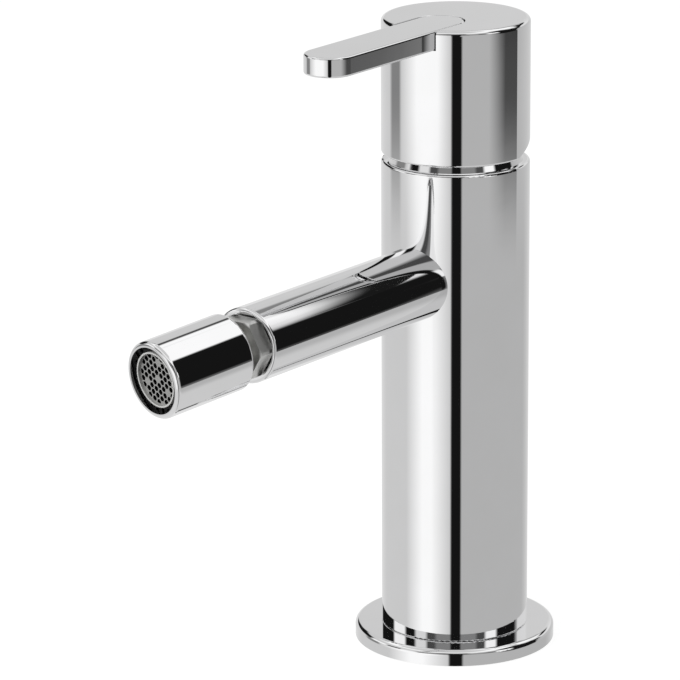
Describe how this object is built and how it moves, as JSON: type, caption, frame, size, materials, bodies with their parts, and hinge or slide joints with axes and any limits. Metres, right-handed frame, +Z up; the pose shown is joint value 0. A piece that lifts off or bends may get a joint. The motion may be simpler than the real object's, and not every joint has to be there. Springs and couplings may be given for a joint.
{
  "type": "bidet mixer",
  "caption": "Chrome single-lever bidet mixer: round column on a base flange, straight horizontal spout with a swivelling aerator, and a cylindrical handle with a flat lever.",
  "frame": {"origin": "centre of the base flange's underside, on the deck", "axes": "+Z up along the column's axis, spout and lever along -Y, +X to the right of someone who looks at the spout's mouth"},
  "size_m": [0.0616, 0.1728, 0.1957],
  "materials": {
    "chrome": "polished nickel-chrome plating on brass",
    "brass": "turned, unplated",
    "steel": "stainless, turned",
    "rubber": "matt EPDM",
    "black_plastic": "moulded, matt",
    "grey_plastic": "moulded, satin",
    "white_plastic": "moulded, satin",
    "ceramic": "lapped alumina"
  },
  "bodies": {
    "mixer_body": {"base_flange": "chrome", "base_gasket": "rubber", "body_column": "chrome", "inlet_block": "brass", "spout_tube": "chrome", "spout_o_ring": "rubber", "hex_washer": "rubber", "ball_stud": "chrome", "cartridge_seals": "rubber", "cartridge_base": "grey_plastic", "fixed_disc": "ceramic", "cartridge_housing": "grey_plastic", "retaining_nut": "brass", "neck_ring": "chrome"},
    "cartridge_turret": {"turret": "white_plastic", "pivot_pin": "steel"},
    "ceramic_slide": {"disc_carrier": "grey_plastic", "moving_disc": "ceramic"},
    "handle": {"stem": "steel", "handle_cap": "chrome", "lever_blade": "chrome", "lever_screws": "steel", "grub_screw": "steel", "screw_plug": "chrome"},
    "swivel_inner": {"slip_ring": "white_plastic"},
    "swivel_outer": {"seal_ring": "rubber"},
    "aerator": {"aerator_housing": "chrome", "ball_retainer": "brass", "aerator_washer": "rubber", "aerator_crown": "black_plastic", "flow_plate": "grey_plastic", "aerator_screen": "grey_plastic"}
  },
  "joints": [
    {"name": "temperature_swing", "type": "hinge", "parent": "mixer_body", "child": "cartridge_turret", "pos_m": [0, 0, 0.152], "axis": [0, 0, 1], "range_deg": [-50, 50]},
    {"name": "flow_lift", "type": "hinge", "parent": "cartridge_turret", "child": "handle", "pos_m": [0, 0, 0.157], "axis": [-1, 0, 0], "range_deg": [0, 25]},
    {"name": "disc_slide", "type": "slide", "parent": "cartridge_turret", "child": "ceramic_slide", "axis": [0, -1, 0], "range_m": [0, 0.0066]},
    {"name": "aerator_yaw", "type": "hinge", "parent": "mixer_body", "child": "swivel_inner", "pos_m": [0, -0.1172, 0.1172], "axis": [0, 0, 1], "range_deg": [-3, 27]},
    {"name": "aerator_pitch", "type": "hinge", "parent": "swivel_inner", "child": "swivel_outer", "pos_m": [0, -0.1172, 0.1172], "axis": [0.9781, -0.2079, 0], "range_deg": [-21.5, 8.5]},
    {"name": "aerator_spin", "type": "hinge", "parent": "swivel_outer", "child": "aerator", "pos_m": [0, -0.1172, 0.1172], "axis": [0.2066, 0.9719, 0.1132], "continuous": true}
  ],
  "couplings": [
    {"joint": "disc_slide", "follows": "flow_lift", "m_per_rad": 0.014964}
  ]
}
